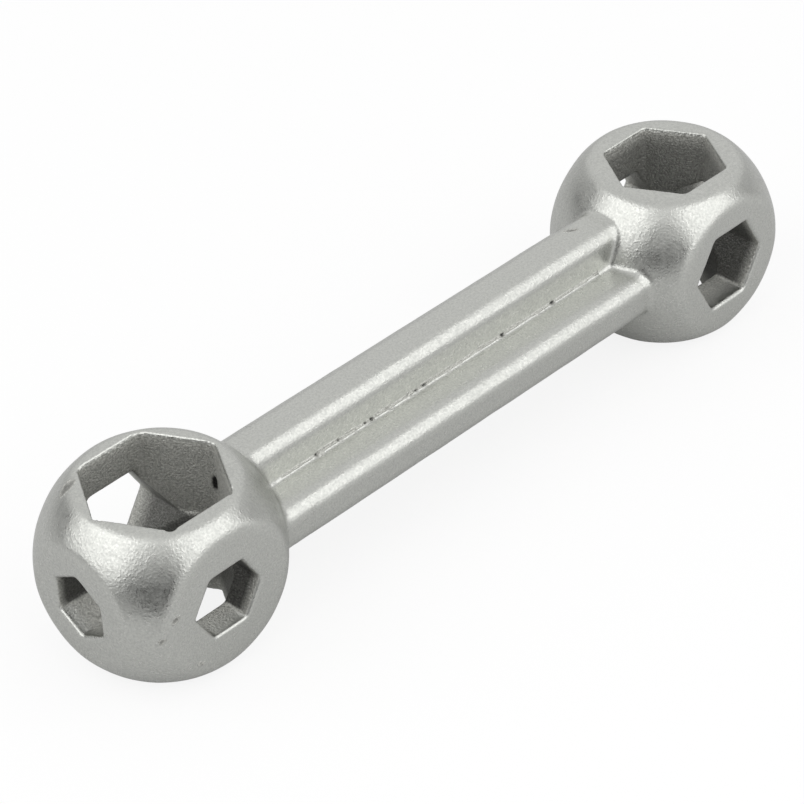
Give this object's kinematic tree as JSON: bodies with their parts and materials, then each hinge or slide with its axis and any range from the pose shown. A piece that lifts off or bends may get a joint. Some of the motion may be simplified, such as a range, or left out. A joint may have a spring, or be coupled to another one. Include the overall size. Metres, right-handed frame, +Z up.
{
  "type": "dog bone wrench",
  "caption": "Cast metal spanner with a ball-shaped head at each end of a cross-section bar; hexagonal sockets in the heads fit nuts of different sizes.",
  "frame": {"origin": "middle of the wrench's length and width, on the surface that the bottom flats of its heads lie on", "axes": "+X along the bar towards the head with the smaller sockets, +Z up, out of the top sockets"},
  "size_m": [0.108, 0.0218, 0.0212],
  "materials": {
    "cast_head": "satin",
    "cast_shank": "satin"
  },
  "bodies": {
    "root": {"large_head": "cast_head", "shank": "cast_shank", "small_head": "cast_head"}
  },
  "joints": []
}
